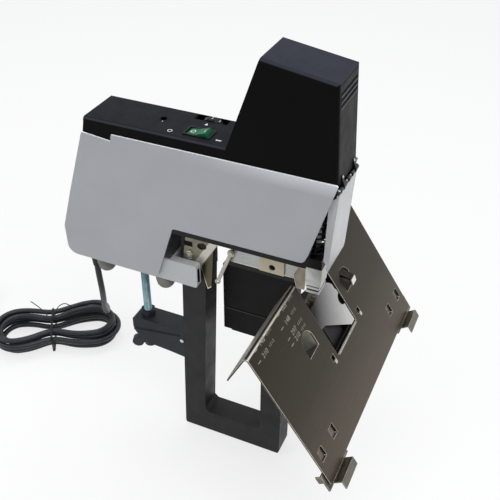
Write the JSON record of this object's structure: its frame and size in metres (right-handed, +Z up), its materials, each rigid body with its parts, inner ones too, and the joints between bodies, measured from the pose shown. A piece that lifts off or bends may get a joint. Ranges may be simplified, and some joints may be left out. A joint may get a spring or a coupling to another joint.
{
  "type": "electric saddle stapler",
  "caption": "Mains-driven saddle stapler with a narrow sheet-metal body, U-shaped throat casting, bench clamp, clear finger guard and a tilting paper table.",
  "frame": {"origin": "on the floor under the middle of the machine without its cord, at the foot of the casting", "axes": "+Z up, +X along the machine towards the stapling nose and the table, +Y to the far side of the picture"},
  "size_m": [0.5729, 0.249, 0.433],
  "materials": {
    "cover_paint": "satin",
    "black_moulding": "fine grain",
    "black_enamel": "semi-gloss",
    "pale_moulding": "satin",
    "grey_rubber": "matt",
    "black_rubber": "matt",
    "bright_steel": "brushed",
    "plated_steel": "zinc plated",
    "casting": "painted, semi-matt",
    "table_steel": "brushed stainless",
    "green_plastic": "clear gloss",
    "grip_plastic": "satin",
    "clear_plastic": "clear",
    "board": "satin",
    "winding": "varnished wire",
    "lamination": "varnished",
    "plug_plastic": "satin"
  },
  "bodies": {
    "body": {"near_cover": "cover_paint", "far_cover": "cover_paint", "rear_panel": "cover_paint", "chassis": "black_enamel", "top_cover": "black_moulding", "base_pan": "pale_moulding", "rubber_feet": "grey_rubber", "base_screws": "plated_steel", "rocker_bezel": "black_moulding", "dial_axle": "plated_steel", "circuit_board": "board", "transformer": "lamination", "throat_frame": "casting", "anvil": "bright_steel", "saddle_cap": "bright_steel", "saddle_wings": "black_enamel", "table_buffer": "black_rubber", "drive_housing": "black_moulding", "housing_base": "black_moulding", "housing_screws": "plated_steel", "clamp_bracket": "casting", "bracket_pins": "plated_steel", "clamp_nut": "plated_steel", "magazine_rail": "bright_steel", "feed_spring": "bright_steel", "latch_plate": "bright_steel", "latch_pin": "plated_steel", "nose_block": "bright_steel", "return_spring": "bright_steel", "solenoid_yoke": "lamination", "solenoid_coil": "winding", "guard_lugs": "plated_steel", "guard_pin": "plated_steel", "pivot_rod": "plated_steel", "pivot_clips": "plated_steel", "strain_relief": "black_rubber", "cord": "black_rubber", "cord_hank": "black_rubber", "cord_tie": "black_rubber", "cord_tail": "black_rubber", "plug": "plug_plastic"},
    "table": {"table_plate": "table_steel", "table_hook": "plated_steel"},
    "near_stop": {"near_stop": "table_steel"},
    "far_stop": {"far_stop": "table_steel"},
    "guard": {"finger_guard": "clear_plastic"},
    "driver": {"plunger": "bright_steel", "driver_blade": "bright_steel", "blade_pin": "plated_steel"},
    "pusher": {"staple_pusher": "grip_plastic"},
    "link": {"latch_link": "plated_steel"},
    "pad": {"pressure_pad": "casting"},
    "screw": {"clamp_screw": "plated_steel", "clamp_knob": "black_moulding"},
    "rocker_switch": {"rocker": "green_plastic"},
    "dial": {"dial_wheel": "black_moulding"}
  },
  "joints": [
    {"name": "table_tilt", "type": "hinge", "parent": "body", "child": "table", "pos_m": [0.08119, 0, 0.198], "axis": [0, -1, 0], "range_deg": [0, 55.7]},
    {"name": "near_stop_slide", "type": "slide", "parent": "table", "child": "near_stop", "axis": [0.5635, 0, -0.8261], "range_m": [0, 0.009]},
    {"name": "far_stop_slide", "type": "slide", "parent": "table", "child": "far_stop", "axis": [0.5635, 0, -0.8261], "range_m": [0, 0.009]},
    {"name": "guard_swing", "type": "hinge", "parent": "body", "child": "guard", "pos_m": [0.1036, 0, 0.3376], "axis": [0, -1, 0], "range_deg": [0, 80], "stiffness_Nm_per_rad": 0.01, "springref_deg": -28.65},
    {"name": "driver_stroke", "type": "slide", "parent": "body", "child": "driver", "axis": [0, 0, -1], "range_m": [0, 0.01], "stiffness_N_per_m": 400, "springref_m": -0.015, "deforming": ["return_spring"]},
    {"name": "pusher_slide", "type": "slide", "parent": "body", "child": "pusher", "axis": [-1, 0, 0], "range_m": [0, 0.022], "stiffness_N_per_m": 100, "springref_m": -0.02},
    {"name": "link_swing", "type": "hinge", "parent": "body", "child": "link", "pos_m": [0.009, 0, 0.246], "axis": [0, -1, 0], "range_deg": [0, 50]},
    {"name": "clamp_travel", "type": "slide", "parent": "body", "child": "pad", "axis": [0, 0, -1], "range_m": [0, 0.05]},
    {"name": "clamp_turn", "type": "hinge", "parent": "pad", "child": "screw", "pos_m": [-0.091, 0, 0.14], "axis": [0, 0, -1], "range_deg": [0, 14400]},
    {"name": "rocker_tip", "type": "hinge", "parent": "body", "child": "rocker_switch", "pos_m": [-0.02, -0.009, 0.351], "axis": [0, 1, 0], "range_deg": [0, 18]},
    {"name": "dial_turn", "type": "hinge", "parent": "body", "child": "dial", "pos_m": [-0.021, 0.016, 0.3418], "axis": [0, 1, 0], "range_deg": [0, 270]}
  ],
  "couplings": [
    {"joint": "clamp_turn", "follows": "clamp_travel", "rad_per_m": 5026.5}
  ]
}
